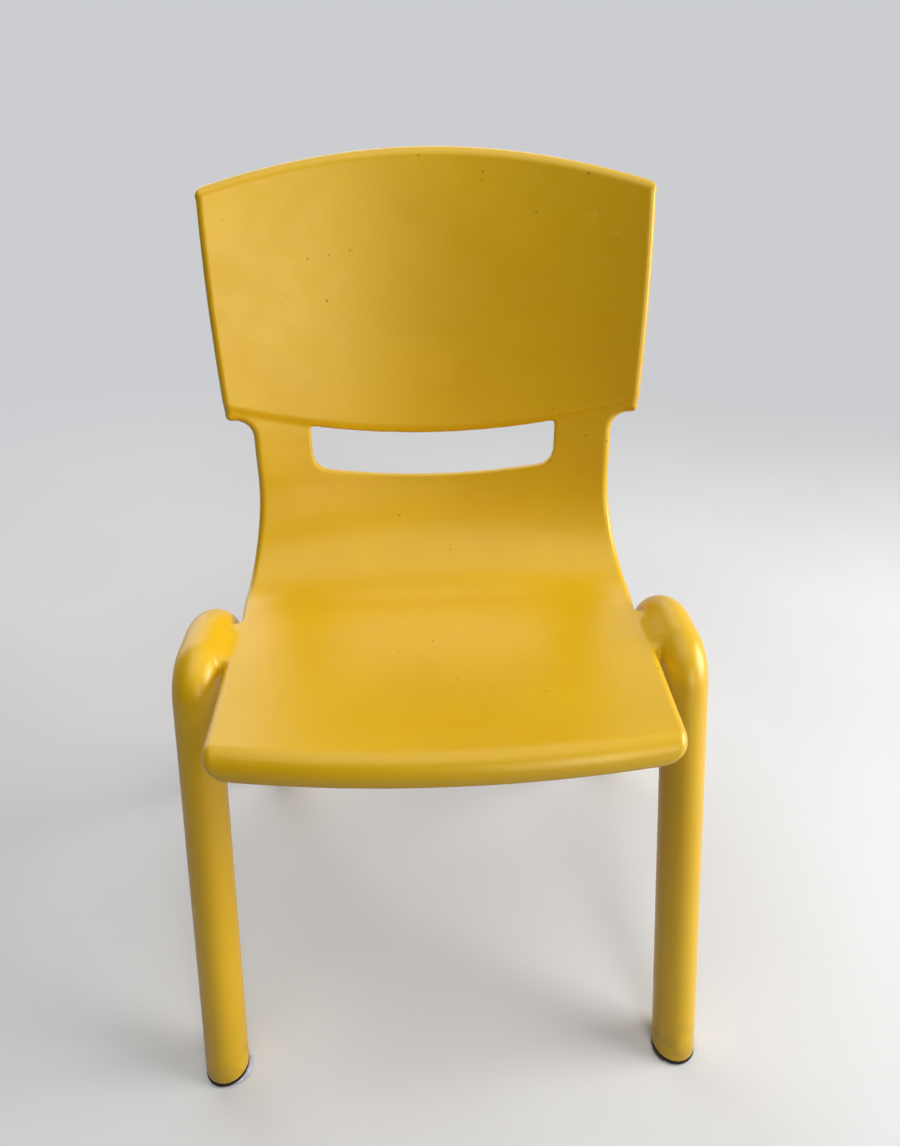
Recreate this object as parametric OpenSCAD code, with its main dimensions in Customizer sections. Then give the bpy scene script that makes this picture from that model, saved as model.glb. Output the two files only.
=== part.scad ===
// Child's plastic school chair: a one-piece moulded seat, back and leg frame,
// with a foot insert pressed into each hollow leg and a felt glide under it.
// The front of the chair faces -Y. The origin is on the floor, midway between the feet.

/* [Overall] */
// Height of the seat's front edge above the floor
seat_h = 350; // [330:1:420]
// Height of the middle of the top edge above the floor
overall_h = 683.5; // [630:0.5:821]
// Distance between the front feet and the rear feet, centre to centre
feet_span_y = 360; // [330:1:430]
// Distance between the left feet and the right feet, centre to centre
feet_span_x = 390; // [385:1:470]

/* [Leg frames] */
// Outside diameter of the legs and of the rail that joins them
leg_d = 36; // [30:0.5:44]
// Wall of the hollow legs
leg_wall = 4; // [3:0.5:6]
// Length of the hollow in each leg
bore_len = 250; // [120:1:280]
// Distance between the two top rails, centre to centre
rail_span_x = 382.4; // [378:0.4:466]
// How far the top of the rail stands above the front edge of the seat
rail_rise = 8; // [3:0.5:12]
// Distance from the front feet back to the start of the straight top rail
rail_start = 134; // [120:1:150]
// Length of the straight top rail
rail_run = 23; // [10:1:40]
// Radius of the bend above the front leg, on the tube's centre line
front_bend_r = 27; // [22:1:60]
// Radius of the bend above the rear leg, on the tube's centre line
rear_bend_r = 56; // [30:1:70]

/* [Seat] */
// Distance from the seat's front edge back to the foot of the straight backrest
seat_depth = 310; // [276:1:371]
// How far the seat's front edge is set back from the centre of the front feet
nose_setback = -2; // [-16:1:14]
// Slope of the seat down towards the back, in degrees
seat_slope = 3; // [0:0.5:5]
// Width of the seat at its front corners
seat_front_w = 329; // [280:1:332]
// Width of the seat where it starts to bend up into the back
seat_rear_w = 346; // [318:1:350]
// Radius of the rolled front edge
nose_r = 16; // [12:0.5:20]
// Height of the straight lip under the rolled front edge
nose_lip = 5; // [4:0.5:10]
// Radius of the seat's two front corners
nose_corner_r = 17; // [12:1:28]
// How far the front edge bows forward in the middle
nose_bow = 18.5; // [0:0.5:22]
// Radius of the bend between the seat and the back
bend_r = 98; // [70:1:105]

/* [Back] */
// Lean of the back from upright, in degrees
back_lean = 12; // [8:0.5:14]
// Width of the waist, below the backrest
waist_w = 319; // [280:1:325]
// Width of the backrest at its lower corners
back_low_w = 361; // [335:1:375]
// Width of the backrest at its upper corners
back_top_w = 369; // [340:1:380]
// Height of the backrest's lower corners above the floor
back_low_h = 477; // [470:1:490]
// Radius of the hollow where the waist meets the backrest
waist_fillet_r = 15; // [10:0.5:18]
// How far the sides of the backrest bulge outwards
back_side_bow = 1.5; // [0:0.5:4]
// Radius of the backrest's lower corners
back_low_corner_r = 5; // [3:0.5:8]
// Radius of the backrest's upper corners
back_top_corner_r = 9; // [6:0.5:18]
// How much lower the upper corners are than the middle of the top edge
crown = 33; // [10:1:40]
// How far the sides of the backrest curve forward of its middle
back_hollow = 38; // [20:1:45]
// How far the sides of the seat rise above its middle
seat_hollow = 4; // [0:0.5:6]

/* [Hand slot] */
// Length of the slot
slot_w = 220; // [150:1:235]
// Height of the slot in its middle
slot_h = 38.2; // [28:0.2:42]
// Height of the slot's lower edge above the floor, in its middle
slot_low_h = 414.5; // [408:0.5:424]
// How much higher the ends of the slot are than its middle
slot_bow = 13; // [0:0.5:16]
// Radius of the slot's lower corners
slot_low_r = 13; // [8:0.5:16]
// Radius of the slot's upper corners
slot_top_r = 5; // [3:0.5:8]

/* [Moulded sheet] */
// Wall of the seat and the back
sheet_t = 4; // [3:0.25:5]
// Radius of the rolled side edges
edge_r = 7; // [5.5:0.5:8]
// Radius of the rolled top edge
top_edge_r = 9; // [8.75:0.25:12]
// Depth of the rim that the rolled edges turn down to
rim_depth = 10; // [7.5:0.5:13]
// Thickness of the web that joins each rail to the seat
web_t = 9; // [6:0.5:11]
// Length of that web, from the front notch to the rear one
web_len = 58; // [45:1:70]

/* [Feet] */
// Thickness of the insert's flange, between the leg and the felt
flange_t = 1.5; // [1.5:0.5:5]
// How far the insert's plug reaches up the leg
plug_len = 18; // [10:1:30]
// Clearance around the plug in the leg
plug_gap = 0.15; // [0.05:0.05:0.4]
// Diameter of the felt glides
pad_d = 35; // [28:0.5:36]
// Thickness of the felt glides
pad_t = 2; // [2:0.5:5]
// How far the front left felt has slipped towards the middle of the chair
pad_slip_front_left = 5; // [0:0.5:6]
// How far the front right felt has slipped towards the middle of the chair
pad_slip_front_right = 3; // [0:0.5:6]
// How far the rear felts have slipped towards the middle of the chair
pad_slip_rear = 2; // [0:0.5:6]

/* [Hidden] */

LEFT = -1;
RIGHT = 1;
FRONT = -1;
REAR = 1;
mm_per_degree = PI / 180;

foot_x = feet_span_x / 2;
foot_y = feet_span_y / 2;
rail_x = rail_span_x / 2;
leg_r = leg_d / 2;
leg_base_h = pad_t + flange_t;
rail_h = seat_h + rail_rise - leg_r;
rail_y0 = rail_start - foot_y;
rail_y1 = rail_y0 + rail_run;
nose_y = nose_setback - foot_y;

// ---- Centre profile of the front surface: a walk of straight and curved runs ----
// Each run is [length, radius, turn], with radius 0 for a straight run.
back_angle = 90 - back_lean;
nose_turn = 90 + seat_slope;
bend_turn = back_angle + seat_slope;
nose_arc = nose_r * nose_turn * mm_per_degree;
bend_arc = bend_r * bend_turn * mm_per_degree;
top_arc = top_edge_r * 90 * mm_per_degree;
nose_reach = nose_r * (1 + sin(seat_slope));
bend_reach = bend_r * (sin(back_angle) + sin(seat_slope));
seat_run = (seat_depth - nose_reach - bend_reach) / cos(seat_slope);
bend_low_h = seat_h - nose_r * (1 - cos(seat_slope)) - seat_run * sin(seat_slope);
bend_top_h = bend_low_h + bend_r * (cos(seat_slope) - cos(back_angle));
roll_rise = top_edge_r * (1 - sin(back_lean));
back_run = (overall_h - bend_top_h - roll_rise) / cos(back_lean);
RUNS = [
    [nose_lip, 0, 0],
    [nose_arc, nose_r, -1],
    [seat_run, 0, 0],
    [bend_arc, bend_r, 1],
    [back_run, 0, 0],
    [top_arc, top_edge_r, -1]
];
s_nose = nose_lip;
s_seat = s_nose + nose_arc;
s_bend = s_seat + seat_run;
s_back = s_bend + bend_arc;
s_roll = s_back + back_run;
s_end = s_roll + top_arc;
walk_start = [nose_y, seat_h - nose_r - nose_lip];

function step_on(p, a, run, d) =
    run[1] == 0
        ? [p + d * [cos(a), sin(a)], a]
        : let (b = a + run[2] * d / run[1] / mm_per_degree)
          [p + run[1] * run[2] * [sin(b) - sin(a), cos(a) - cos(b)], b];

function walk(d, i = 0, p = walk_start, a = 90) =
    d <= RUNS[i][0] || i == len(RUNS) - 1
        ? step_on(p, a, RUNS[i], d)
        : let (next = step_on(p, a, RUNS[i], RUNS[i][0]))
          walk(d - RUNS[i][0], i + 1, next[0], next[1]);

function height_to_s(h) = s_back + (h - bend_top_h) / cos(back_lean);

// ---- Outline: half the width of the sheet at each station along the profile ----
s_web = s_seat + (rail_y0 - nose_y - nose_reach);
s_waist = height_to_s(slot_low_h);
s_hollow = height_to_s(back_low_h) - back_low_corner_r - waist_fillet_r;
s_step = s_hollow + waist_fillet_r;
s_corner = s_step + back_low_corner_r;
corner_drop = crown / cos(back_lean);
step_run = 0.4;

function ease(t) = t <= 0 ? 0 : t >= 1 ? 1 : t * t * (3 - 2 * t);
function blend_to(a, b, s, s0, s1) = a + (b - a) * ease((s - s0) / (s1 - s0));
function quarter(r, d) = r - sqrt(max(r * r - pow(min(max(d, 0), r), 2), 0));

seat_flare = (seat_rear_w - seat_front_w) / 2 / (s_bend - s_nose);
waist_lead = 40;
waist_lag = 10;

function seat_half_w(s) = seat_front_w / 2 + seat_flare * max(s - s_nose, 0);
function lower_half_w(s) =
    blend_to(seat_half_w(s), waist_w / 2, s, s_bend - waist_lead, s_waist + waist_lag);

function back_half_w(s) =
    let (up = min(max((s - s_corner) / (s_roll - s_corner), 0), 1))
    back_low_w / 2 + (back_top_w - back_low_w) / 2 * (s - s_corner) / (s_roll - s_corner)
    + back_side_bow * 4 * up * (1 - up);

function half_w(s) =
    s <= s_step
        ? lower_half_w(s) - quarter(nose_corner_r, nose_corner_r - s)
          + quarter(waist_fillet_r, s - s_hollow)
        : s <= s_corner
            ? back_low_w / 2 - quarter(back_low_corner_r, s_corner - s)
            : back_half_w(s) - quarter(back_top_corner_r, s - (s_end - back_top_corner_r));

// ---- Front surface: the profile, hollowed across its width ----
function hollow(s) =
    s < s_bend
        ? seat_hollow * ease((s - s_seat) / (s_bend - s_seat))
        : blend_to(seat_hollow, back_hollow, s, s_bend, s_corner);
function bow(s) = nose_bow * (1 - ease(s / s_web));
function crown_at(s) = corner_drop * ease((s - s_corner) / (s_roll - s_corner));

function out_of(a) = [-sin(a), cos(a)];

function sheet_point(x, s, depth) =
    let (
        across = pow(x / (back_top_w / 2), 2),
        at = walk(s),
        lean = s > s_back ? back_angle : at[1],
        sag = [cos(back_angle), sin(back_angle)] * crown_at(s),
        p = at[0] + (out_of(lean) * hollow(s) - sag) * across - out_of(at[1]) * depth
    )
    [x, p[0] + bow(s) * across, p[1]];

// ---- Sheet: lanes across, stations along, an outer skin and an inner one ----
edge_steps = 5;
lane_count = 14;
rim_cap = edge_r + 0.6;
edge_angles = [for (i = [0:edge_steps]) 90 * i / edge_steps];

// A lane is [distance in from the outline, depth, share of the half width].
function edge_lane(a, inset) =
    [edge_r * (1 - cos(a)) + inset * cos(a), edge_r * (1 - sin(a)) + inset * sin(a)];
function rim_at(s) = blend_to(rim_depth, rim_cap, s, s_roll - 2 * rim_depth, s_roll);
function side_lanes(s, inset) = concat(
    [[inset, rim_at(s)]],
    [for (a = edge_angles) edge_lane(a, inset)]
);

function row(s, inset) =
    let (
        w = half_w(s),
        sides = side_lanes(s, inset),
        flat = w - edge_r
    )
    concat(
        [for (e = sides) sheet_point(e[0] - w, s, e[1])],
        [for (i = [1:lane_count - 1]) sheet_point(flat * (2 * i / lane_count - 1), s, inset)],
        [for (i = [len(sides) - 1:-1:0]) sheet_point(w - sides[i][0], s, sides[i][1])]
    );

function spread(a, b, n) = [for (i = [1:n]) a + (b - a) * i / n];
function curl(a, b, n) = [for (i = [1:n]) a + (b - a) * sin(90 * i / n)];
STATIONS = concat(
    [0.5],
    curl(0.5, nose_corner_r, 6),
    spread(nose_corner_r, s_seat, 3),
    spread(s_seat, s_bend, 7),
    spread(s_bend, s_back, 10),
    spread(s_back, s_hollow, 2),
    curl(s_hollow, s_step, 6),
    spread(s_step, s_step + step_run, 1),
    curl(s_step + step_run, s_corner, 4),
    spread(s_corner, s_end - back_top_corner_r - 1, 7),
    spread(s_end - back_top_corner_r - 1, s_end, 9)
);

function grid_faces(rows, cols, base, flip) = [
    for (r = [0:rows - 2], c = [0:cols - 2])
        let (a = base + r * cols + c, b = a + cols)
        each flip ? [[a, a + 1, b + 1], [a, b + 1, b]] : [[a, b + 1, a + 1], [a, b, b + 1]]
];

function rim_faces(loop, base) = [
    for (i = [0:len(loop) - 1])
        let (a = loop[i], b = loop[(i + 1) % len(loop)])
        each [[a, b, base + b], [a, base + b, base + a]]
];

function border(rows, cols) = concat(
    [for (c = [0:cols - 1]) c],
    [for (r = [1:rows - 1]) r * cols + cols - 1],
    [for (c = [cols - 2:-1:0]) (rows - 1) * cols + c],
    [for (r = [rows - 2:-1:1]) r * cols]
);

module moulded_sheet() {
    outer = [for (s = STATIONS) row(s, 0)];
    inner = [for (s = STATIONS) row(s, sheet_t)];
    rows = len(outer);
    cols = len(outer[0]);
    skins = concat([for (r = outer) each r], [for (r = inner) each r]);
    polyhedron(
        points = skins,
        faces = concat(
            grid_faces(rows, cols, 0, false),
            grid_faces(rows, cols, rows * cols, true),
            rim_faces(border(rows, cols), rows * cols)
        ),
        convexity = 6
    );
}

// ---- Hand slot, cut straight through from front to back ----
slot_steps = 16;
slot_reach = 90;
slot_extra = 60;

function slot_edge(h) = [
    for (i = [0:slot_steps])
        let (t = 2 * i / slot_steps - 1)
        [t * slot_w / 2, h + slot_bow * t * t]
];

module slot_outline(extra, r) {
    offset(r = r)
        offset(delta = -r)
            polygon(concat(
                slot_edge(slot_low_h),
                [for (i = [slot_steps:-1:0]) slot_edge(slot_low_h + slot_h + extra)[i]]
            ));
}

module slot_cut() {
    translate([0, nose_y + seat_depth + slot_reach, 0])
        rotate([90, 0, 0])
            linear_extrude(height = 2 * slot_reach)
                intersection() {
                    slot_outline(0, slot_top_r, $fn = 24);
                    slot_outline(slot_extra, slot_low_r, $fn = 32);
                }
}

// ---- Leg frames: a bent tube on each side, leaning out a little to the feet ----
bend_steps = 9;
front_centre = [rail_y0, rail_h - front_bend_r];
rear_centre = [rail_y1, rail_h - rear_bend_r];

// Angle from the floor of the straight leg that runs from a foot into its bend.
function leg_angle(foot, centre, r) =
    let (to = centre - foot)
    atan2(to[1], abs(to[0])) + asin(r / norm(to));
front_angle = leg_angle([-foot_y, 0], front_centre, front_bend_r);
rear_angle = leg_angle([foot_y, 0], rear_centre, rear_bend_r);

function lean_out(h) = rail_x + (foot_x - rail_x) * (1 - h / rail_h);
function on_frame(y, h, side) = [side * lean_out(h), y, h];
function foot_point(end, side, h) =
    let (a = end == FRONT ? front_angle : rear_angle)
    on_frame(end * (foot_y - h / tan(a)), h, side);
function bend_point(centre, r, end, side, a) =
    on_frame(centre[0] + end * r * sin(a), centre[1] + r * cos(a), side);

function frame_path(side) = concat(
    [foot_point(FRONT, side, -leg_r)],
    [for (i = [bend_steps:-1:0])
        bend_point(front_centre, front_bend_r, FRONT, side, front_angle * i / bend_steps)],
    [for (i = [0:bend_steps])
        bend_point(rear_centre, rear_bend_r, REAR, side, rear_angle * i / bend_steps)],
    [foot_point(REAR, side, -leg_r)]
);

tube_sides = 28;

function heading(path, i) = path[min(i + 1, len(path) - 1)] - path[max(i - 1, 0)];

// The first and last stretches are straight, so a ring next to one squares up to it.
function ring_heading(path, i) =
    i <= 1
        ? path[1] - path[0]
        : i >= len(path) - 2
            ? path[len(path) - 1] - path[len(path) - 2]
            : heading(path, i);

function ring(p, along, r) =
    let (out = [0, -along[2], along[1]] / norm([along[1], along[2]]))
    [for (i = [0:tube_sides - 1])
        let (a = 360 * i / tube_sides)
        p + r * cos(a) * [1, 0, 0] + r * sin(a) * out];

module side_frame(side) {
    path = frame_path(side);
    last = len(path) - 1;
    polyhedron(
        points = [for (i = [0:last]) each ring(path[i], ring_heading(path, i), leg_r)],
        faces = concat(
            [[for (i = [tube_sides - 1:-1:0]) i]],
            [[for (i = [0:tube_sides - 1]) last * tube_sides + i]],
            [for (i = [0:last - 1], j = [0:tube_sides - 1])
                let (a = i * tube_sides + j, b = i * tube_sides + (j + 1) % tube_sides)
                each [[a, b, a + tube_sides], [b, b + tube_sides, a + tube_sides]]]
        ),
        convexity = 4
    );
}

module along_leg(end, side, h) {
    up = foot_point(end, side, rail_h) - foot_point(end, side, 0);
    translate(foot_point(end, side, h))
        rotate([0, acos(up[2] / norm(up)), atan2(up[1], up[0])])
            children();
}

module leg_bore(end, side) {
    along_leg(end, side, 0)
        translate([0, 0, -leg_r])
            cylinder(h = bore_len + leg_r, r = leg_r - leg_wall, $fn = 40);
}

// ---- Web between a rail and the seat, waisted between its two ends ----
web_slices = 4;
web_y = (rail_y0 + rail_y1) / 2;
web_drop = 5;
web_flare = 0.4;
web_r = web_t / 2;
web_from = [seat_half_w(s_web) - 3 * web_r, seat_h - web_drop - web_r];
web_to = [rail_x - web_r, rail_h + web_r];

module web_slice(side, t) {
    at = web_from + (web_to - web_from) * t;
    reach = web_len / 2 * (1 + web_flare * pow(2 * t - 1, 2)) - web_r;
    for (end = [FRONT, REAR])
        translate([side * at[0], web_y + end * reach, at[1]])
            sphere(r = web_r, $fn = 16);
}

module web(side) {
    for (i = [0:web_slices - 1])
        hull() {
            web_slice(side, i / web_slices);
            web_slice(side, (i + 1) / web_slices);
        }
}

module chair_shell() {
    floor_box = 4 * leg_d;
    color([0.86, 0.68, 0.16])
        difference() {
            union() {
                moulded_sheet();
                for (side = [LEFT, RIGHT]) {
                    side_frame(side);
                    web(side);
                }
            }
            slot_cut();
            for (side = [LEFT, RIGHT])
                for (end = [FRONT, REAR]) {
                    leg_bore(end, side);
                    translate([side * foot_x, end * foot_y, leg_base_h - floor_box / 2])
                        cube(floor_box, center = true);
                }
        }
}

// ---- Foot insert: a flange cut level with the floor, and a plug up the leg ----
module level_slab(end, low, high) {
    slab_w = 3 * leg_d;
    translate([foot_x, end * foot_y, (low + high) / 2])
        cube([slab_w, slab_w, high - low], center = true);
}

module right_foot_insert(end) {
    seam_turn = 45;
    union() {
        intersection() {
            along_leg(end, RIGHT, leg_base_h)
                rotate([0, 0, seam_turn])
                    cylinder(h = 2 * leg_d, r = leg_r, center = true, $fn = 64);
            level_slab(end, pad_t, leg_base_h);
        }
        intersection() {
            along_leg(end, RIGHT, leg_base_h)
                rotate([0, 0, seam_turn])
                    translate([0, 0, -leg_r])
                        cylinder(h = plug_len + leg_r, r = leg_r - leg_wall - plug_gap, $fn = 64);
            level_slab(end, pad_t + flange_t / 2, leg_base_h + 2 * plug_len);
        }
    }
}

module foot_insert(end, side) {
    color([0.08, 0.08, 0.09])
        mirror([side == LEFT ? 1 : 0, 0, 0])
            right_foot_insert(end);
}

module felt_pad(end, side) {
    slip_front = side == LEFT ? pad_slip_front_left : pad_slip_front_right;
    slip = end == FRONT ? slip_front : pad_slip_rear;
    at = foot_point(end, side, pad_t);
    color([0.47, 0.46, 0.5])
        translate([at[0] - side * slip, at[1], 0])
            cylinder(h = pad_t, d = pad_d, $fn = 64);
}

chair_shell();
foot_insert(FRONT, LEFT);  // front_left_foot_insert
foot_insert(FRONT, RIGHT);  // front_right_foot_insert
foot_insert(REAR, LEFT);  // rear_left_foot_insert
foot_insert(REAR, RIGHT);  // rear_right_foot_insert
felt_pad(FRONT, LEFT);  // front_left_felt_pad
felt_pad(FRONT, RIGHT);  // front_right_felt_pad
felt_pad(REAR, LEFT);  // rear_left_felt_pad
felt_pad(REAR, RIGHT);  // rear_right_felt_pad
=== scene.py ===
"""Looks of a child's one-piece moulded plastic school chair, built around its CAD frame."""
import math

import bpy
import numpy as np
from mathutils import Matrix, Vector


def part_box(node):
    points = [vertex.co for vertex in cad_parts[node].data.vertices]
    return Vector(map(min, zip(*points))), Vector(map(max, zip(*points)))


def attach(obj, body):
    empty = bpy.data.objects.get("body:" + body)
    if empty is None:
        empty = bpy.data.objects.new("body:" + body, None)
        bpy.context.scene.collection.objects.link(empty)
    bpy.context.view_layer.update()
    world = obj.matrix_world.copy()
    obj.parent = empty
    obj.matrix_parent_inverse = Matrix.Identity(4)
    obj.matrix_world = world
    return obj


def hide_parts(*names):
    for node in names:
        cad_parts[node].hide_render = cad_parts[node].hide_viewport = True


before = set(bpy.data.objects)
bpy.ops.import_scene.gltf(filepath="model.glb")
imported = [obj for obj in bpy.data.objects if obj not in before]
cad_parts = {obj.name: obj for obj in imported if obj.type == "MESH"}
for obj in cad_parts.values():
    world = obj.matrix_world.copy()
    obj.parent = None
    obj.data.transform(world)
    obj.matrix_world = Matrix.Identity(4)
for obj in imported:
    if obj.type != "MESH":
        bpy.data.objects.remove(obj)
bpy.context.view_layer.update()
MM = 0.001

# Everything about the moulding is in millimetres until mesh_object() turns it into metres.
# ---- Sizes that are the same as the CAD model's ----
SEAT_H, OVERALL_H = 350.0, 683.5
FOOT_X, FOOT_Y = 195.0, 180.0
LEG_R, LEG_WALL = 18.0, 4.0
RAIL_X, RAIL_H = 191.2, 340.0
RAIL_Y0, RAIL_Y1 = -46.0, -23.0
FRONT_BEND_R, REAR_BEND_R = 27.0, 56.0
SEAT_DEPTH, NOSE_Y, SEAT_SLOPE = 310.0, -182.0, 3.0
SEAT_FRONT_W, SEAT_REAR_W = 329.0, 346.0
NOSE_R, NOSE_LIP, NOSE_CORNER_R, NOSE_BOW = 16.0, 5.0, 17.0, 18.5
BEND_R, BACK_LEAN = 98.0, 12.0
WAIST_W, BACK_LOW_W, BACK_TOP_W, BACK_LOW_H = 319.0, 361.0, 369.0, 477.0
BACK_SIDE_BOW = 1.5
WAIST_FILLET_R, LOW_CORNER_R, TOP_CORNER_R = 15.0, 5.0, 9.0
CROWN, BACK_HOLLOW, SEAT_HOLLOW = 33.0, 38.0, 4.0
SLOT_W, SLOT_H, SLOT_LOW_H, SLOT_BOW, SLOT_LOW_R = 220.0, 38.2, 414.5, 13.0, 13.0
SHEET_T, EDGE_R, TOP_EDGE_R, RIM_DEPTH = 4.0, 7.0, 9.0, 10.0
LEG_BASE_H, PLUG_R = 3.5, LEG_R - LEG_WALL

# ---- Finer shapes, some of them simpler in the CAD or not there ----
# Outline: the tab that each web leaves the seat on, and the nick in the waist behind it
WEB_FRONT_Y, WEB_REAR_Y, TAB_FILLET_R = -60.0, 0.0, 3.0
WAIST_NICK = 3.5
NICK_FROM, NICK_RUN_IN, NICK_UNTIL, NICK_RUN_OUT = -8, 12, 4, 40
WAIST_FROM, WAIST_PAST = 40, 10
STRIP_OVERLAP = 30
# Rim: radius of the rolled edge at the nose and at the tips of the top, and its lower edges
NOSE_EDGE_R, TIP_EDGE_R, TIP_RUN, TIP_END = 3.0, 2.5, 6, 3
INNER_EDGE_R, ROLL_DEPTH, RIM_TURN = EDGE_R + 1, 5.4, 1.4
# Hand slot: the ring behind it, and how round its edges are below and above
SLOT_TOP_R, SLOT_RIM, RING_SETBACK, RING_FILLET_R = 3.0, 6.0, 0.8, 2.0
SLOT_LOW_TURN, SLOT_TOP_TURN, SLOT_TURN_SHARE = 1.4, 2.8, 0.8
# Step above the slot: its depth, its height range and the slow dip that leads down to it
TUCK, TUCK_FROM, TUCK_TO, DIP_BELOW, DIP_RUN, SEAT_CLEAR = 2.2, -1, 9, 75, 60, 20
# Webs: fillets on top and below, each as (radius, radius at its ends, from, to)
WEB_TOP = (12.0, 1.5, -14, 4)
WEB_TOP_REAR = (12.0, 3.5, -24, -6)
WEB_UNDER = (24.0, 3.0, -12, 16)
WEB_UNDER_Z, WEB_TOP_Z = 328, 342
# Leg ends: how far they stand off the inserts' flanges, and their rounding; room for the plugs
LEG_END_GAP, LEG_END_TURN = 0.4, 1.2
PLUG_ROOM, PLUG_ROOM_TURN = 40.0, 3.0

FAR, TINY = 1e9, 1e-9  # larger than any distance, and nearly nothing
RUN_ON = 0.2  # share of a segment's length that it is run on by

# ---- Centre profile of the sheet's front surface: straight and curved runs in (y, z) ----
BACK_ANGLE = 90 - BACK_LEAN
slope = math.radians(SEAT_SLOPE)
lean = math.radians(BACK_ANGLE)
bend_reach = BEND_R * (math.sin(lean) + math.sin(slope))
nose_reach = NOSE_R * (1 + math.sin(slope))
seat_run = (SEAT_DEPTH - nose_reach - bend_reach) / math.cos(slope)
bend_low_h = SEAT_H - NOSE_R * (1 - math.cos(slope)) - seat_run * math.sin(slope)
bend_top_h = bend_low_h + BEND_R * (math.cos(slope) - math.cos(lean))
roll_rise = TOP_EDGE_R * (1 - math.sin(math.radians(BACK_LEAN)))
back_run = (OVERALL_H - bend_top_h - roll_rise) / math.cos(math.radians(BACK_LEAN))
nose_arc = NOSE_R * (math.pi / 2 + slope)
bend_arc = BEND_R * (lean + slope)
top_arc = TOP_EDGE_R * math.pi / 2
SPARE = 60.0  # straight run added at both ends, so that points past them have a station too
RUNS = [(NOSE_LIP + SPARE, 0, 0), (nose_arc, NOSE_R, -1), (seat_run, 0, 0),
        (bend_arc, BEND_R, 1), (back_run, 0, 0), (top_arc, TOP_EDGE_R, -1), (SPARE, 0, 0)]
S_SEAT = NOSE_LIP + nose_arc
S_BEND = S_SEAT + seat_run
S_BACK = S_BEND + bend_arc
S_ROLL = S_BACK + back_run
S_END = S_ROLL + top_arc


def lay_runs():
    """Each run as (start station, length, start point, heading, radius, turn, centre)."""
    laid = []
    s, p, a = -SPARE, np.array([NOSE_Y, SEAT_H - NOSE_R - NOSE_LIP - SPARE]), math.pi / 2
    for length, r, turn in RUNS:
        centre = p + r * turn * np.array([-math.sin(a), math.cos(a)])
        laid.append((s, length, p.copy(), a, r, turn, centre))
        if r:
            b = a + turn * length / r
            chord = np.array([math.sin(b) - math.sin(a), math.cos(a) - math.cos(b)])
            p = p + r * turn * chord
            a = b
        else:
            p = p + length * np.array([math.cos(a), math.sin(a)])
        s += length
    return laid


LAID = lay_runs()


def height_to_s(h):
    return S_BACK + (h - bend_top_h) / math.cos(math.radians(BACK_LEAN))


def y_to_s(y):
    return S_SEAT + (y - NOSE_Y - nose_reach) / math.cos(slope)


S_BOW = y_to_s(RAIL_Y0)
S_WEB_FRONT, S_WEB_REAR = y_to_s(WEB_FRONT_Y), y_to_s(WEB_REAR_Y)
S_WAIST = height_to_s(SLOT_LOW_H)
S_STEP = height_to_s(BACK_LOW_H) - LOW_CORNER_R
S_CORNER = S_STEP + LOW_CORNER_R


def ease(t):
    t = np.clip(t, 0, 1)
    return t * t * (3 - 2 * t)


def blend(a, b, s, s0, s1):
    return a + (b - a) * ease((s - s0) / (s1 - s0))


def nearest(y, z):
    """Station s along the profile and signed distance t in front of it."""
    best = np.full(y.shape, FAR)
    s_out = np.zeros_like(y)
    t_out = np.zeros_like(y)
    for s0, length, p, a, r, turn, centre in LAID:
        if r:
            vy, vz = y - centre[0], z - centre[1]
            from_centre = np.hypot(vy, vz)
            start = a - turn * math.pi / 2
            turned = turn * (np.arctan2(vz, vy) - start)
            span = length / r
            turned = (turned + math.pi - span / 2) % (2 * math.pi) - math.pi + span / 2
            along = np.clip(turned, 0, span)
            b = start + turn * along
            fy, fz = centre[0] + r * np.cos(b), centre[1] + r * np.sin(b)
            t = turn * (r - from_centre)
            s = s0 + along * r
        else:
            cy, cz = math.cos(a), math.sin(a)
            along = np.clip((y - p[0]) * cy + (z - p[1]) * cz, 0, length)
            fy, fz = p[0] + along * cy, p[1] + along * cz
            t = (y - p[0]) * -cz + (z - p[1]) * cy
            s = s0 + along
        gap = np.hypot(y - fy, z - fz)
        closer = gap < best
        best = np.where(closer, gap, best)
        s_out = np.where(closer, s, s_out)
        t_out = np.where(closer, np.sign(t) * gap, t_out)
    return s_out, t_out


HEADING_S = [-SPARE, NOSE_LIP, S_SEAT, S_BEND, S_BACK, S_END + SPARE]
HEADING_A = [math.pi / 2, math.pi / 2, -slope, -slope, lean, lean]


def hollow_at(s):
    seat = SEAT_HOLLOW * ease((s - S_SEAT) / (S_BEND - S_SEAT))
    return np.where(s < S_BEND, seat, blend(SEAT_HOLLOW, BACK_HOLLOW, s, S_BEND, S_CORNER))


def sheet_coords(x, y, z):
    """Station and signed height over the hollowed, bowed and crowned front surface."""
    half = BACK_TOP_W / 2
    across = (x / half) ** 2
    s, t = nearest(y, z)
    for _ in range(2):
        rise = hollow_at(s) * across
        heading = np.interp(s, HEADING_S, HEADING_A)
        up = ease((s - S_CORNER) / (S_ROLL - S_CORNER))
        sag = CROWN / math.cos(math.radians(BACK_LEAN)) * up
        bow = NOSE_BOW * (1 - ease(s / S_BOW))
        dy = -np.sin(heading) * rise - math.cos(lean) * sag * across + bow * across
        dz = np.cos(heading) * rise - math.sin(lean) * sag * across
        s, t = nearest(y - dy, z - dz)
    tilt = 2 * hollow_at(s) * x / half ** 2
    return s, t / np.sqrt(1 + tilt * tilt)


def corner(a, b, r):
    """Where a and b are both inside, with their shared edge rounded to radius r."""
    u, v = a + r, b + r
    return np.hypot(np.maximum(u, 0), np.maximum(v, 0)) + np.minimum(np.maximum(u, v), 0) - r


def join(a, b, r):
    """Where a or b is inside, with a round fillet of radius r between them."""
    u, v = np.maximum(r - a, 0), np.maximum(r - b, 0)
    return np.maximum(r, np.minimum(a, b)) - np.hypot(u, v)


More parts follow.
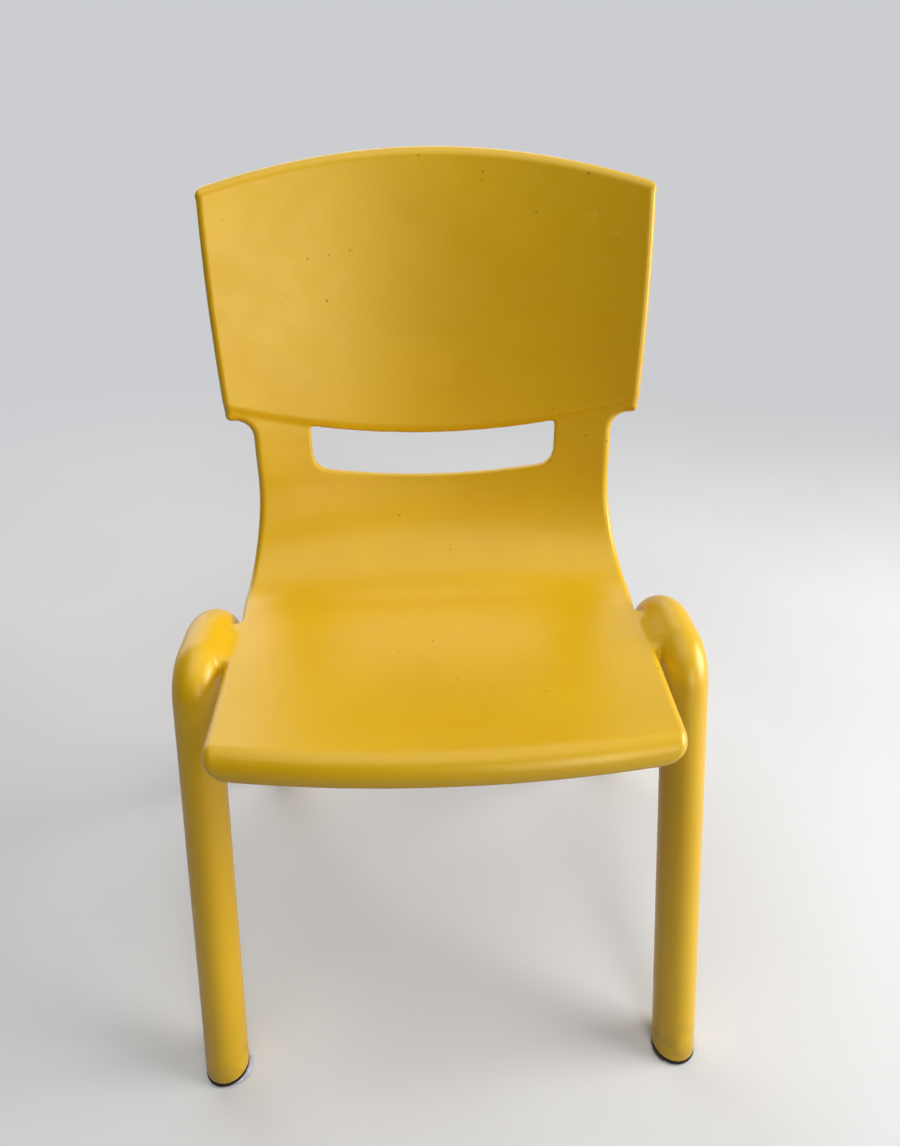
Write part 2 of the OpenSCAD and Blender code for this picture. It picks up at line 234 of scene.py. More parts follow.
def outline(x, s):
    """Distance outside the developed outline of the sheet, seat and back together."""
    flare = (SEAT_REAR_W - SEAT_FRONT_W) / 2 / (S_BEND - NOSE_LIP)
    seat_w = SEAT_FRONT_W / 2 + flare * np.clip(s - NOSE_LIP, 0, S_WAIST)
    strip_w = blend(seat_w, WAIST_W / 2, s, S_BEND - WAIST_FROM, S_WAIST + WAIST_PAST)
    past = s - S_WEB_REAR
    nick = ease((past - NICK_FROM) / NICK_RUN_IN) * (1 - ease((past - NICK_UNTIL) / NICK_RUN_OUT))
    strip = corner(x - strip_w + WAIST_NICK * nick, -s, NOSE_CORNER_R)
    mid, reach = (S_WEB_FRONT + S_WEB_REAR) / 2, (S_WEB_REAR - S_WEB_FRONT) / 2
    tab = np.maximum(np.abs(s - mid) - reach, x - RAIL_X)
    strip = join(strip, tab, TAB_FILLET_R)
    strip = np.maximum(strip, s - S_STEP - STRIP_OVERLAP)
    grow = (BACK_TOP_W - BACK_LOW_W) / 2 / (S_ROLL - S_CORNER)
    up = np.clip((s - S_CORNER) / (S_ROLL - S_CORNER), 0, 1)
    panel_w = BACK_LOW_W / 2 + grow * (s - S_CORNER) + BACK_SIDE_BOW * 4 * up * (1 - up)
    panel = corner(x - panel_w, S_STEP - s, LOW_CORNER_R)
    panel = corner(panel, s - S_END, TOP_CORNER_R)
    return join(strip, panel, WAIST_FILLET_R)


def tuck(x, z):
    """How far the front sinks below the backrest panel, up to a step just above the hand slot."""
    over = z - SLOT_LOW_H - SLOT_H - SLOT_BOW * (2 * x / SLOT_W) ** 2
    sunk = TUCK * blend(1.0, 0.0, over, TUCK_FROM, TUCK_TO) * ease((over + DIP_BELOW) / DIP_RUN)
    return np.where(z > SEAT_H + SEAT_CLEAR, sunk, 0.0)


def slot(x, z):
    """Distance outside the hand slot, seen from the front."""
    curve = SLOT_LOW_H + SLOT_BOW * (2 * x / SLOT_W) ** 2
    steep = np.sqrt(1 + (8 * SLOT_BOW * np.minimum(x, SLOT_W / 2) / SLOT_W ** 2) ** 2)
    below = (curve - z) / steep
    above = (z - curve - SLOT_H) / steep
    side = x - SLOT_W / 2
    return np.maximum(corner(side, below, SLOT_LOW_R), corner(side, above, SLOT_TOP_R))


def leg_run(end, centre_y, r):
    """A leg's foot, the point where its bend starts and the bend's centre in (y, z), and angle."""
    foot = np.array([end * FOOT_Y, 0.0])
    centre = np.array([centre_y, RAIL_H - r])
    to = centre - foot
    angle = math.atan2(to[1], abs(to[0])) + math.asin(r / np.hypot(*to))
    top = centre + r * np.array([end * math.sin(angle), math.cos(angle)])
    return foot, top, centre, angle


LEGS = (
    (-1, leg_run(-1, RAIL_Y0, FRONT_BEND_R), FRONT_BEND_R),
    (1, leg_run(1, RAIL_Y1, REAR_BEND_R), REAR_BEND_R),
)


def lean_out(z):
    """Distance of a side frame's centre line from the middle of the chair, at height z."""
    return RAIL_X + (FOOT_X - RAIL_X) * (1 - z / RAIL_H)


def to_segment(y, z, a, b):
    """Distance from the segment a to b, run on a little past a."""
    d = b - a
    k = np.clip(((y - a[0]) * d[0] + (z - a[1]) * d[1]) / (d @ d), -RUN_ON, 1)
    return np.hypot(y - a[0] - k * d[0], z - a[1] - k * d[1])


def side_frame(x, y, z):
    """Distance outside the bent tube that makes the two legs and the rail of one side."""
    gap = np.full(y.shape, FAR)
    for end, (foot, top, centre, angle), r in LEGS:
        gap = np.minimum(gap, to_segment(y, z, foot, top))
        vy, vz = (y - centre[0]) * end, z - centre[1]
        turned = np.clip(np.arctan2(vy, vz), 0, angle)
        gap = np.minimum(gap, np.hypot(vy - r * np.sin(turned), vz - r * np.cos(turned)))
    rail = np.array([RAIL_Y1, RAIL_H]), np.array([RAIL_Y0, RAIL_H])
    gap = np.minimum(gap, to_segment(y, z, *rail))
    return np.hypot(gap, x - lean_out(z)) - LEG_R


def plug_hole(x, y, z):
    """Distance outside the short bores that leave room for the inserts' plugs."""
    gap = np.full(y.shape, FAR)
    for _, (foot, top, _, _), _ in LEGS:
        gap = np.minimum(gap, to_segment(y, z, foot, top))
    return corner(np.hypot(gap, x - lean_out(z)) - PLUG_R, z - PLUG_ROOM, PLUG_ROOM_TURN)


def web_fillet(y, z):
    """Radius of the fillet between the seat and the side frame."""
    middle, half = (WEB_FRONT_Y + WEB_REAR_Y) / 2, (WEB_REAR_Y - WEB_FRONT_Y) / 2
    beyond = np.abs(y - middle) - half

    def ending(shape, at):
        wide, narrow, start, stop = shape
        return blend(wide, narrow, at, start, stop)

    top = np.minimum(ending(WEB_TOP, beyond), ending(WEB_TOP_REAR, y))
    under = blend(1.0, 0.0, z, WEB_UNDER_Z, WEB_TOP_Z)
    return top * (1 - under) + ending(WEB_UNDER, beyond) * under


def shell(p):
    """Signed distance from the whole moulding; negative inside the plastic."""
    x, y, z = np.abs(p[:, 0]), p[:, 1], p[:, 2]
    s, t = sheet_coords(x, y, z)
    depth = -t - tuck(x, z)
    rim = np.minimum(
        blend(NOSE_EDGE_R, EDGE_R, s, 0, NOSE_CORNER_R),
        blend(EDGE_R, TIP_EDGE_R, s, S_END - TOP_CORNER_R - TIP_RUN, S_END - TIP_END),
    )
    plan = outline(x, s)
    outer = corner(plan, -depth, rim)
    inner = corner(plan, -depth, INNER_EDGE_R)
    roll = blend(RIM_DEPTH, ROLL_DEPTH, s, S_ROLL - 2 * RIM_DEPTH, S_ROLL)
    drop = np.where(s < S_BACK, RIM_DEPTH, roll)
    sheet = corner(outer, depth - drop, RIM_TURN)
    sheet = corner(sheet, -(inner + SHEET_T), RIM_TURN)
    hole = slot(x, z)
    ring = np.maximum(hole - SHEET_T, SHEET_T - RING_SETBACK - depth)
    ring = np.maximum(ring, depth - SLOT_RIM)
    slot_top = SLOT_LOW_H + SLOT_H
    turn = blend(SLOT_LOW_TURN, SLOT_TOP_TURN, z, SLOT_LOW_H + SLOT_H * SLOT_TURN_SHARE, slot_top)
    sheet = corner(join(sheet, ring, RING_FILLET_R), -hole, turn)
    body = join(sheet, side_frame(x, y, z), web_fillet(y, z))
    body = corner(body, LEG_BASE_H + LEG_END_GAP - z, LEG_END_TURN)
    return np.maximum(body, -plug_hole(x, y, z))


# ---- Meshing: surface nets on a sparse grid, then drawn onto the exact surface ----
STEEPEST, LONGEST_STEP, BLOCK, NEAR = 0.25, 1.5, 4, 1.15


def slopes(field, p, e=0.2):
    """The field's gradient at points p, by differences over e either way."""
    g = np.empty_like(p)
    for k in range(3):
        d = np.zeros(3)
        d[k] = e
        g[:, k] = (field(p + d) - field(p - d)) / (2 * e)
    return g


def settle(field, p, rounds):
    """Points drawn onto the surface where the field is zero."""
    for _ in range(rounds):
        f, g = field(p), slopes(field, p)
        step = f / np.maximum((g * g).sum(1), STEEPEST)
        p = p - np.clip(step, -LONGEST_STEP, LONGEST_STEP)[:, None] * g
    return p


def lattice(*counts):
    """Every whole-number point of a box, one row each."""
    return np.stack(np.meshgrid(*[np.arange(k) for k in counts], indexing="ij"), -1).reshape(-1, 3)


def net(field, low, high, cell):
    """Vertices and quads of the zero surface of a signed distance field.

    The field is worked out at the middle of each block of cells first, and at the cells'
    corners only in the blocks that lie near the surface.
    """
    size = cell * BLOCK
    n = np.ceil((high - low) / size).astype(int)
    idx = lattice(*n)
    mid = field(low + (idx + 0.5) * size)
    values = mid.reshape(n)
    for axis in range(3):
        values = np.repeat(values, BLOCK, axis)
    values = np.pad(values.astype(np.float32), ((0, 1),) * 3, mode="edge")
    near = idx[np.abs(mid) < size * NEAR]
    inner = lattice(*[BLOCK + 1] * 3)
    known = np.zeros(values.shape, bool)
    pts = (near[:, None, :] * BLOCK + inner[None]).reshape(-1, 3)
    known[pts[:, 0], pts[:, 1], pts[:, 2]] = True
    pts = np.argwhere(known)
    values[pts[:, 0], pts[:, 1], pts[:, 2]] = field(low + pts * cell)
    inside = values < 0
    corners = lattice(2, 2, 2)
    m = np.array(values.shape) - 1
    count = np.zeros(m, np.uint8)
    for a, b, c in corners:
        count += inside[a:a + m[0], b:b + m[1], c:c + m[2]]
    cells = np.argwhere((count > 0) & (count < 8))
    number = np.full(m, -1, np.int32)
    number[cells[:, 0], cells[:, 1], cells[:, 2]] = np.arange(len(cells))
    total = np.zeros((len(cells), 3))
    hits = np.zeros(len(cells))
    for axis in range(3):
        for start in corners:
            if start[axis]:
                continue
            end = start.copy()
            end[axis] = 1
            i, j = cells + start, cells + end
            f0 = values[i[:, 0], i[:, 1], i[:, 2]].astype(float)
            f1 = values[j[:, 0], j[:, 1], j[:, 2]].astype(float)
            cross = (f0 < 0) != (f1 < 0)
            k = np.where(cross, f0 / np.where(cross, f0 - f1, 1), 0)
            total[cross] += (i + k[:, None] * (end - start))[cross]
            hits[cross] += 1
    verts = low + total / hits[:, None] * cell
    quads = []
    for axis in range(3):
        u, v = (axis + 1) % 3, (axis + 2) % 3
        far = [slice(None)] * 3
        far[axis] = slice(1, None)
        close = [slice(None)] * 3
        close[axis] = slice(0, -1)
        change = inside[tuple(close)] != inside[tuple(far)]
        e = np.argwhere(change)
        e = e[(e[:, u] > 0) & (e[:, v] > 0) & (e[:, u] < m[u]) & (e[:, v] < m[v])]
        ring = []
        for du, dv in ((1, 1), (0, 1), (0, 0), (1, 0)):
            c = e.copy()
            c[:, u] -= du
            c[:, v] -= dv
            ring.append(number[c[:, 0], c[:, 1], c[:, 2]])
        q = np.stack(ring, 1)
        out = inside[e[:, 0], e[:, 1], e[:, 2]]
        q[~out] = q[~out][:, ::-1]
        quads.append(q)
    return verts, np.concatenate(quads)


def mesh_object(name, verts_mm, faces):
    mesh = bpy.data.meshes.new(name)
    mesh.from_pydata((np.asarray(verts_mm) * MM).tolist(), [], [list(f) for f in faces])
    mesh.update()
    obj = bpy.data.objects.new(name, mesh)
    bpy.context.scene.collection.objects.link(obj)
    return obj


def points_of(obj):
    co = np.empty(len(obj.data.vertices) * 3)
    obj.data.vertices.foreach_get("co", co)
    return co.reshape(-1, 3)


def apply_modifier(obj, kind, **values):
    modifier = obj.modifiers.new("m", kind)
    for key, value in values.items():
        setattr(modifier, key, value)
    bpy.context.view_layer.objects.active = obj
    with bpy.context.temp_override(object=obj, active_object=obj, selected_objects=[obj]):
        bpy.ops.object.modifier_apply(modifier="m")


def shade_smooth(obj):
    obj.data.polygons.foreach_set("use_smooth", np.ones(len(obj.data.polygons), bool))


MAX_TRIANGLES = 186000
CELL, QUICK_CELL, NORMAL_REACH = 2.0, 3.0, 0.35
NET_LOW, NET_HIGH = np.array([-216.0, -202.0, 0.0]), np.array([216.0, 202.0, 688.0])


def make_shell():
    """The moulding as one closed mesh, with its normals taken from the exact surface."""
    verts, quads = net(shell, NET_LOW, NET_HIGH, CELL)
    verts = settle(shell, verts, 2)
    obj = mesh_object("chair_moulding", verts, quads)
    apply_modifier(obj, "TRIANGULATE")
    faces = len(obj.data.polygons)
    if faces > MAX_TRIANGLES:
        ratio = MAX_TRIANGLES / faces
        apply_modifier(obj, "DECIMATE", ratio=ratio, use_collapse_triangulate=True)
    verts = settle(shell, points_of(obj) / MM, 2)
    obj.data.vertices.foreach_set("co", (verts * MM).ravel())
    shade_smooth(obj)
    g = slopes(shell, verts, NORMAL_REACH)
    g /= np.maximum(np.linalg.norm(g, axis=1), 1e-6)[:, None]
    obj.data.normals_split_custom_set_from_vertices(g.tolist())
    return obj


# ---- Materials ----
def srgb(r, g, b):
    def lin(c):
        c /= 255
        return c / 12.92 if c <= 0.04045 else ((c + 0.055) / 1.055) ** 2.4
    return (lin(r), lin(g), lin(b), 1.0)


class Nodes:
    """A short way to write a material's node tree."""

    def __init__(self, name):
        self.material = bpy.data.materials.new(name)
        self.material.use_nodes = True
        self.tree = self.material.node_tree
        self.tree.nodes.clear()
        self.out = self.tree.nodes.new("ShaderNodeOutputMaterial")

    def add(self, kind, inputs=None, **settings):
        """A node with its sockets linked or set, and its settings set first."""
        node = self.tree.nodes.new("ShaderNode" + kind)
        for key, value in settings.items():
            setattr(node, key, value)
        for key, value in (inputs or {}).items():
            if isinstance(value, bpy.types.NodeSocket):
                self.tree.links.new(value, node.inputs[key])
            else:
                node.inputs[key].default_value = value
        return node

    def place(self):
        return self.add("TexCoord").outputs["Object"]

    def noise(self, vector, scale, detail=4.0, roughness=0.5, distortion=0.0):
        inputs = {"Vector": vector, "Scale": scale, "Detail": detail,
                  "Roughness": roughness, "Distortion": distortion}
        return self.add("TexNoise", inputs).outputs["Fac"]

    def ramp(self, value, low, high, a=0.0, b=1.0):
        """A smooth change from a to b while value goes from low to high."""
        inputs = {"Value": value, "From Min": low, "From Max": high, "To Min": a, "To Max": b}
        node = self.add("MapRange", inputs, interpolation_type="SMOOTHSTEP")
        return node.outputs["Result"]

    def math(self, kind, a, b=0.0):
        return self.add("Math", {0: a, 1: b}, operation=kind).outputs[0]

    def mix(self, factor, a, b):
        """Colour a turning into colour b; 6, 7 and 2 are the Mix node's colour sockets."""
        return self.add("Mix", {0: factor, 6: a, 7: b}, data_type="RGBA").outputs[2]

    def bump(self, height, distance, strength=1.0, normal=None):
        inputs = {"Height": height, "Distance": distance, "Strength": strength}
        if normal is not None:
            inputs["Normal"] = normal
        return self.add("Bump", inputs).outputs["Normal"]

    def finish(self, shader):
        self.tree.links.new(shader, self.out.inputs["Surface"])
        return self.material


YELLOW, YELLOW_PALE, OCHRE = srgb(229, 180, 6), srgb(236, 188, 10), srgb(204, 146, 0)
SCUFFED, SPECKLED, GRIMY = srgb(244, 212, 110), srgb(96, 70, 14), srgb(120, 90, 40)
GLOSS_TINT = (1.0, 0.95, 0.66, 1)
GRIME_H = 0.05  # metres above the floor


def plastic_material():
    """Satin plastic: cloudy colour, fine grain, faint scuffs, dark specks and grime at the feet."""
    n = Nodes("satin_yellow_plastic")
    at = n.place()
    cloud = n.ramp(n.noise(at, 7.0, 3.0), 0.35, 0.68)
    colour = n.mix(cloud, YELLOW, YELLOW_PALE)
    fine = n.noise(at, 900.0, 2.0, 0.6)
    colour = n.mix(n.ramp(fine, 0.3, 0.7, 0.0, 0.12), colour, OCHRE)
    patch = n.ramp(n.noise(at, 5.0, 2.0), 0.42, 0.62)
    line = n.noise(at, 26.0, 2.0, 0.5, 1.4)
    off_line = n.math("ABSOLUTE", n.math("SUBTRACT", line, 0.5))
    scuff = n.math("MULTIPLY", n.ramp(off_line, 0.0, 0.006, 0.2, 0.0), patch)
    colour = n.mix(scuff, colour, SCUFFED)
    dots = n.ramp(n.noise(at, 210.0, 1.0), 0.765, 0.80)
    speck = n.math("MULTIPLY", dots, n.ramp(n.noise(at, 14.0, 2.0), 0.5, 0.6))
    colour = n.mix(n.math("MULTIPLY", speck, 0.75), colour, SPECKLED)
    height = n.add("SeparateXYZ", {"Vector": at}).outputs["Z"]
    smear = n.ramp(n.noise(at, 70.0, 4.0), 0.42, 0.7)
    grime = n.math("MULTIPLY", n.ramp(height, 0.0, GRIME_H, 0.35, 0.0), smear)
    colour = n.mix(grime, colour, GRIMY)
    rough = n.ramp(n.noise(at, 46.0, 4.0), 0.3, 0.7, 0.32, 0.38)
    rough = n.math("ADD", rough, n.math("MULTIPLY", scuff, 0.25))
    grain = n.noise(at, 1500.0, 2.0, 0.6)
    normal = n.bump(grain, 0.00012, 0.5)
    wave = n.noise(at, 30.0, 2.0)
    normal = n.bump(wave, 0.0006, 0.25, normal)
    shader = n.add("BsdfPrincipled", {
        "Base Color": colour, "Roughness": rough, "Normal": normal, "IOR": 1.49,
        "Specular IOR Level": 0.9, "Specular Tint": GLOSS_TINT,
    })
    return n.finish(shader.outputs["BSDF"])


def rubber_material():
    """Black rubber with floor dust in its grain."""
    n = Nodes("black_foot_rubber")
    at = n.place()
    dust = n.ramp(n.noise(at, 240.0, 5.0), 0.45, 0.75, 0.0, 0.5)
    colour = n.mix(dust, srgb(22, 22, 24), srgb(70, 66, 62))
    normal = n.bump(n.noise(at, 1200.0, 3.0), 0.0002, 0.6)
    shader = n.add("BsdfPrincipled", {"Base Color": colour, "Roughness": 0.7, "Normal": normal})
    return n.finish(shader.outputs["BSDF"])


def felt_material(name, dark, pale):
    """Matted felt between two sRGB colours, with floor dirt in it; on the front feet those two
    colours carry painted light (left) and painted shade (right).
    """
    n = Nodes(name)
    at = n.place()
    cloud = n.ramp(n.noise(at, 160.0, 5.0), 0.35, 0.7)
    colour = n.mix(cloud, srgb(*dark), srgb(*pale))
    dirt = n.ramp(n.noise(at, 90.0, 4.0), 0.5, 0.75, 0.0, 0.55)
    colour = n.mix(dirt, colour, srgb(74, 68, 58))
    normal = n.bump(n.noise(at, 1100.0, 4.0, 0.7), 0.0006, 0.8)
    shader = n.add("BsdfPrincipled", {
        "Base Color": colour, "Roughness": 0.95, "Normal": normal,
        "Sheen Weight": 0.4, "Sheen Roughness": 0.5,
    })
    return n.finish(shader.outputs["BSDF"])


# ---- Felt pads ----
HAIR_SIDES, HAIR_POINTS, HAIR_TAPER = 3, 5, 0.6
HAIR_SPREAD = 1.2  # how tightly the loose hairs gather round the frayed side
HAIR_ROOT, HAIR_LENGTH, HAIR_WIDTH = 0.8, (1.0, 3.2), (0.05, 0.11)
HAIR_TURN, HAIR_LEAN, HAIR_RISE, HAIR_DROOP = (-1.4, 1.4), (-0.7, 0.7), (-0.15, 0.45), 0.12
HAIR_LOW, HAIR_OVER, HAIR_LEVELS = 0.12, 0.8, (0.15, 0.9)
HAIR_SLANT = (0.31, 0.22, 0.93)  # a direction that no hair runs along
PAD_SIDES, LEVEL_JITTER, EDGE_JITTER = 96, 0.06, 0.12
# Cross-section of a pad from the middle of its top to the middle of its underside:
# share of the rim's radius, share of the thickness
PAD_RINGS = ((0.5, 1), (0.86, 1), (0.96, 0.97), (1.0, 0.7), (0.99, 0.3), (0.95, 0), (0.5, 0))
RIM_WAVES = (2, 3, 5, 8, 13, 21, 34)
FRAY_DEPTH, FRAY_POWER = 4.5, 0.8


def fibre(verts, faces, path, width):
    """A thin three-sided hair along a path, tapering to a point."""
    path = np.asarray(path)
    base = len(verts)
    for k, point in enumerate(path[:-1]):
        ahead = path[k + 1] - point
        side = np.cross(ahead, HAIR_SLANT)
        side /= np.linalg.norm(side) + TINY
        up = np.cross(side, ahead)
        up /= np.linalg.norm(up) + TINY
        thin = width * (1 - HAIR_TAPER * k / len(path))
        for i in range(HAIR_SIDES):
            a = 2 * math.pi * i / HAIR_SIDES
            verts.append(tuple(point + thin * (math.cos(a) * side + math.sin(a) * up)))
    verts.append(tuple(path[-1]))
    tip = len(verts) - 1
    last = len(path) - 2
    for k in range(last):
        for i in range(HAIR_SIDES):
            j, a = (i + 1) % HAIR_SIDES, base + HAIR_SIDES * k
            faces.append((a + i, a + j, a + HAIR_SIDES + j, a + HAIR_SIDES + i))
    end = base + HAIR_SIDES * last
    for i in range(HAIR_SIDES):
        faces.append((end + i, end + (i + 1) % HAIR_SIDES, tip))
    faces.append((base + 2, base + 1, base))


def hair_path(rng, centre, rim, lobe, t):
    """Points of one loose hair that starts in the pad's edge and droops outwards."""
    a = rng.vonmises(lobe, HAIR_SPREAD)
    start = rim(a) - HAIR_ROOT
    z = rng.uniform(*HAIR_LEVELS) * t
    step = rng.uniform(*HAIR_LENGTH) / (HAIR_POINTS - 1)
    turn = rng.uniform(*HAIR_TURN) / (HAIR_POINTS - 1)
    x, y = centre[0] + start * math.cos(a), centre[1] + start * math.sin(a)
    heading = a + rng.uniform(*HAIR_LEAN)
    rise = rng.uniform(*HAIR_RISE)
    path = []
    for _ in range(HAIR_POINTS):
        path.append((x, y, min(max(z, HAIR_LOW), t + HAIR_OVER)))
        x, y = x + step * math.cos(heading), y + step * math.sin(heading)
        heading += turn
        z += rise * step
        rise -= HAIR_DROOP
    return path


def felt_pad(name, node, seed, lobe, hairs, worn):
    """A worn felt disc with a ragged rim, more frayed towards the angle lobe."""
    rng = np.random.default_rng(seed)
    low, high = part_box(node)
    centre = (np.array(low) + np.array(high)) / 2 / MM
    r, t = (high[0] - low[0]) / 2 / MM, (high[2] - low[2]) / MM
    verts, faces = [], []
    waves = [(k, rng.uniform(0.2, 0.7) / math.sqrt(k), rng.uniform(0, 6.28)) for k in RIM_WAVES]

    def rim(a):
        ragged = sum(w * math.sin(m * a + p) for m, w, p in waves)
        frayed = 0.5 + 0.5 * math.cos(a - lobe)
        shrunk = FRAY_DEPTH * (1 - frayed) ** FRAY_POWER
        return min(r - worn - shrunk + (0.25 + 0.75 * frayed) * ragged, r)

    for share, h in PAD_RINGS:
        for i in range(PAD_SIDES):
            a = 2 * math.pi * i / PAD_SIDES
            lift = LEVEL_JITTER * rng.standard_normal() if 0.2 < h < 1 else 0
            jitter = EDGE_JITTER * rng.standard_normal() if 0.2 < h < 0.9 else 0
            out = share * rim(a) + jitter
            height = min(max(h + lift, 0), 1) * t
            verts.append((centre[0] + out * math.cos(a), centre[1] + out * math.sin(a), height))
    last = (len(PAD_RINGS) - 1) * PAD_SIDES
    verts += [(centre[0], centre[1], t), (centre[0], centre[1], 0.0)]
    top, bottom = len(verts) - 2, len(verts) - 1
    for k in range(0, last, PAD_SIDES):
        for i in range(PAD_SIDES):
            j = (i + 1) % PAD_SIDES
            faces.append((k + i, k + PAD_SIDES + i, k + PAD_SIDES + j, k + j))
    for i in range(PAD_SIDES):
        j = (i + 1) % PAD_SIDES
        faces.append((top, i, j))
        faces.append((bottom, last + j, last + i))
    for _ in range(hairs):
        path = hair_path(rng, centre, rim, lobe, t)
        fibre(verts, faces, path, rng.uniform(*HAIR_WIDTH))
    obj = mesh_object(name, verts, faces)
    shade_smooth(obj)
    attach(obj, "root")
    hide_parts(node)
    return obj


# ---- Camera, lights, floor ----
IMAGE_H, FOCAL_PX, SENSOR_W = 1146, 804.2, 36  # pixels, pixels, millimetres
CAMERA_AT = (-0.01143, -0.56132, 0.729)
PITCH, YAW, ROLL = 31.45, 2.1, 0.62  # degrees: down, to the right, clockwise


def make_camera():
    pitch, yaw, roll = math.radians(PITCH), math.radians(YAW), math.radians(ROLL)
    level = math.cos(pitch)
    ahead = Vector((level * math.sin(yaw), level * math.cos(yaw), -math.sin(pitch)))
    right = Vector((math.cos(yaw), -math.sin(yaw), 0))
    down = ahead.cross(right)
    across = right * math.cos(roll) + down * math.sin(roll)
    under = down * math.cos(roll) - right * math.sin(roll)
    data = bpy.data.cameras.new("camera")
    data.lens = SENSOR_W * FOCAL_PX / IMAGE_H
    data.sensor_width = SENSOR_W
    camera = bpy.data.objects.new("camera", data)
    axes = Matrix((across, -under, -ahead)).transposed().to_4x4()
    camera.matrix_world = Matrix.Translation(CAMERA_AT) @ axes
    bpy.context.scene.collection.objects.link(camera)
    bpy.context.scene.camera = camera


# name, place, aim, size, watts, lights matt surfaces, shows in glossy ones
LIGHTS = (
    ("window", (2.2, -0.2, 1.1), (0, 0, 0.4), (1.4, 1.4), 53, True, True),
    ("window_low", (2.0, -0.9, 0.5), (0, 0, 0.4), (1.4, 0.8), 3, True, True),
    ("window_high", (0.6, -2.0, 1.7), (0, 0, 0.4), (0.8, 0.8), 12, True, False),
    ("ceiling", (0, -0.1, 2.4), (0, 0, 0.3), (2.4, 2.4), 23, True, True),
    ("ceiling_back", (-0.4, 1.9, 1.7), (0, 0, 0.4), (2.4, 1.2), 13, True, True),
    ("wall_behind", (-1.5, 1.9, 0.9), (0, 0.1, 0.4), (1.6, 1.2), 9, True, True),
    ("window_glint", (0.78, -1.75, 0.95), (-0.15, 0.12, 0.5), (0.5, 1.0), 7.5, False, True),
)


def area_light(name, place, aim, size, watts, matt, glossy):
    data = bpy.data.lights.new(name, "AREA")
    data.shape = "RECTANGLE"
    data.size, data.size_y = size
    data.energy = watts
    light = bpy.data.objects.new(name, data)
    light.location = place
    light.rotation_euler = (Vector(aim) - Vector(place)).to_track_quat("-Z", "Y").to_euler()
    light.visible_diffuse = matt
    light.visible_glossy = glossy
    bpy.context.scene.collection.objects.link(light)


BACKDROP = (0.6, 0.61, 0.63, 1)
FLOOR_DARK, FLOOR_PALE = (0.76, 0.76, 0.76, 1), (0.79, 0.79, 0.79, 1)
FLOOR_BOUNCE = (0.2, 0.18, 0.16, 1)  # what the floor reflects onto matt surfaces
CHAIR_AT = (0.0, -0.2, 0.0)
GLOW_FROM, GLOW_FULL = 0.9, 2.2  # metres from there, where the floor turns into the backdrop
FLOOR_HALF, SWEEP_Y, SWEEP_R, SWEEP_STEPS, WALL_TOP = 6000, 2400, 900, 25, 6000
AMBIENT = 0.05


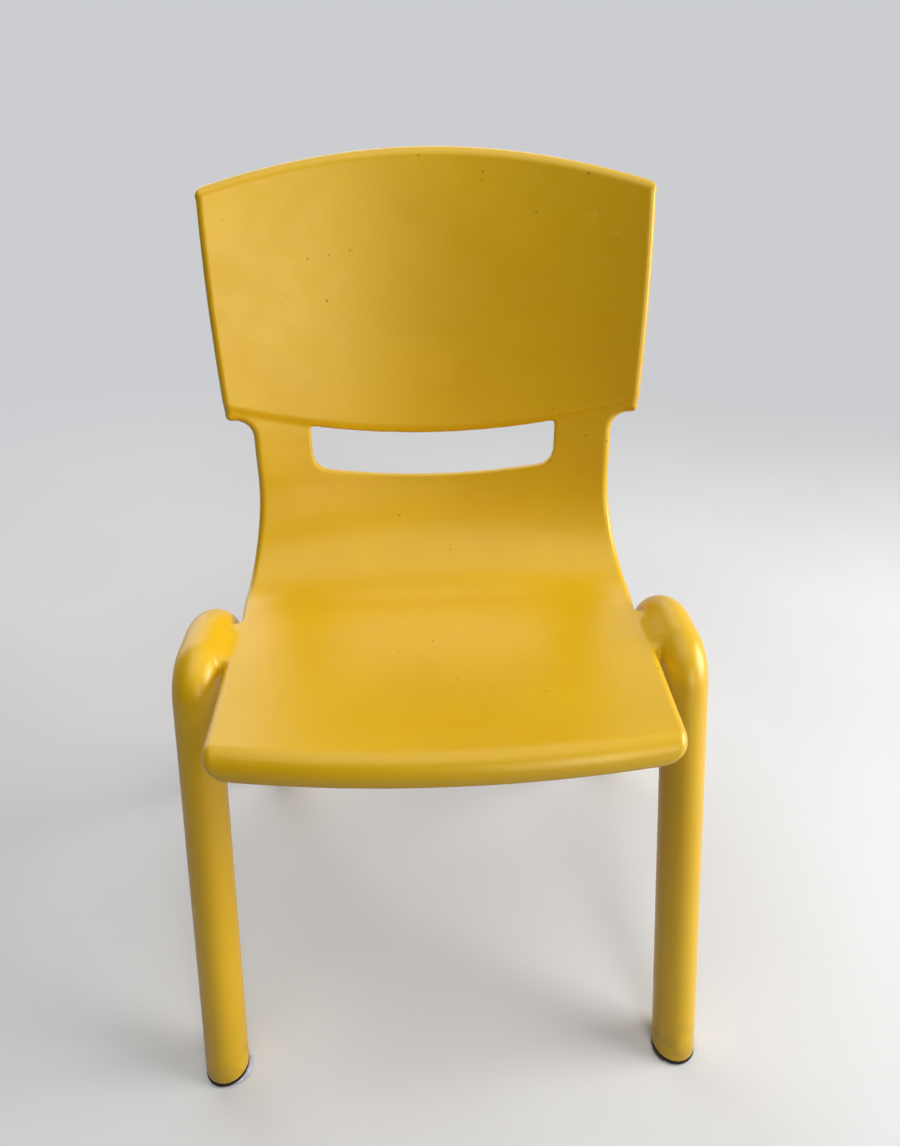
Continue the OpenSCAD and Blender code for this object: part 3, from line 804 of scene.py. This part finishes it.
def make_stage():
    """A pale floor that sweeps up into a plain backdrop behind the chair.

    Its pale colour and the backdrop's glow are only for what is seen, straight or in a
    reflection; the light that it throws back onto matt surfaces is that of a darker floor.
    """
    n = Nodes("plain_floor")
    at = n.place()
    colour = n.mix(n.ramp(n.noise(at, 3.0, 3.0), 0.3, 0.7), FLOOR_DARK, FLOOR_PALE)
    path = n.add("LightPath").outputs
    seen = n.math("MAXIMUM", path["Is Glossy Ray"], path["Is Transmission Ray"])
    seen = n.math("MAXIMUM", path["Is Camera Ray"], seen)
    colour = n.mix(seen, FLOOR_BOUNCE, colour)
    matt = {"Base Color": colour, "Roughness": 0.6, "Specular IOR Level": 0.2}
    shader = n.add("BsdfPrincipled", matt).outputs["BSDF"]
    glow = n.add("Emission", {"Color": BACKDROP, "Strength": 1.0}).outputs["Emission"]
    apart = n.add("VectorMath", {0: at, 1: CHAIR_AT}, operation="DISTANCE")
    far = n.math("MULTIPLY", n.ramp(apart.outputs["Value"], GLOW_FROM, GLOW_FULL), seen)
    both = n.add("MixShader", {0: far, 1: shader, 2: glow})
    material = n.finish(both.outputs["Shader"])
    angles = np.linspace(0, math.pi / 2, SWEEP_STEPS)
    arc = [(SWEEP_Y + SWEEP_R * math.sin(a), SWEEP_R - SWEEP_R * math.cos(a)) for a in angles]
    run = [(-FLOOR_HALF, 0)] + arc + [(SWEEP_Y + SWEEP_R, WALL_TOP)]
    verts = [(x, y, z) for y, z in run for x in (-FLOOR_HALF, FLOOR_HALF)]
    faces = [(2 * k, 2 * k + 1, 2 * k + 3, 2 * k + 2) for k in range(len(run) - 1)]
    floor = mesh_object("floor", verts, faces)
    shade_smooth(floor)
    floor.data.materials.append(material)


def make_world():
    """A faint ambient light, and the backdrop's colour wherever the camera sees past the sweep."""
    world = bpy.data.worlds.new("studio")
    world.use_nodes = True
    tree = world.node_tree
    tree.nodes.clear()
    out, ambient, backdrop, path, mix = (tree.nodes.new("ShaderNode" + kind) for kind in (
        "OutputWorld", "Background", "Background", "LightPath", "MixShader"))
    ambient.inputs["Color"].default_value = (1, 1, 1, 1)
    ambient.inputs["Strength"].default_value = AMBIENT
    backdrop.inputs["Color"].default_value = BACKDROP
    tree.links.new(path.outputs["Is Camera Ray"], mix.inputs[0])
    tree.links.new(ambient.outputs[0], mix.inputs[1])
    tree.links.new(backdrop.outputs[0], mix.inputs[2])
    tree.links.new(mix.outputs[0], out.inputs["Surface"])
    bpy.context.scene.world = world


moulding = make_shell()
moulding.data.materials.append(plastic_material())
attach(moulding, "root")
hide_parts("chair_shell")

# foot, direction of the frayed side in radians, hairs, wear in mm, dark and pale sRGB colour
FEET = (
    # front-left colours: the felt paled with painted light, a lit copy of the grey felt
    ("front_left", -0.72, 260, 0.2, (208, 202, 220), (240, 236, 246)),
    # front-right colours: the felt darkened with painted shade, a shaded copy of the same felt
    ("front_right", -2.3, 220, 1.0, (82, 70, 52), (126, 112, 84)),
    ("rear_left", 0.75, 120, 0.5, (112, 108, 118), (160, 156, 166)),
    ("rear_right", 2.35, 120, 0.5, (112, 108, 118), (160, 156, 166)),
)
FIRST_SEED = 11
rubber = rubber_material()
for seed, (foot, lobe, hairs, worn, dark, pale) in enumerate(FEET, FIRST_SEED):
    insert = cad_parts[foot + "_foot_insert"]
    insert.data.materials.clear()
    insert.data.materials.append(rubber)
    pad = felt_pad(foot + "_felt", foot + "_felt_pad", seed, lobe, hairs, worn)
    pad.data.materials.append(felt_material(foot + "_worn_felt", dark, pale))

make_camera()
make_stage()
make_world()
for row in LIGHTS:
    area_light(*row)
bpy.context.scene.view_settings.view_transform = "Standard"
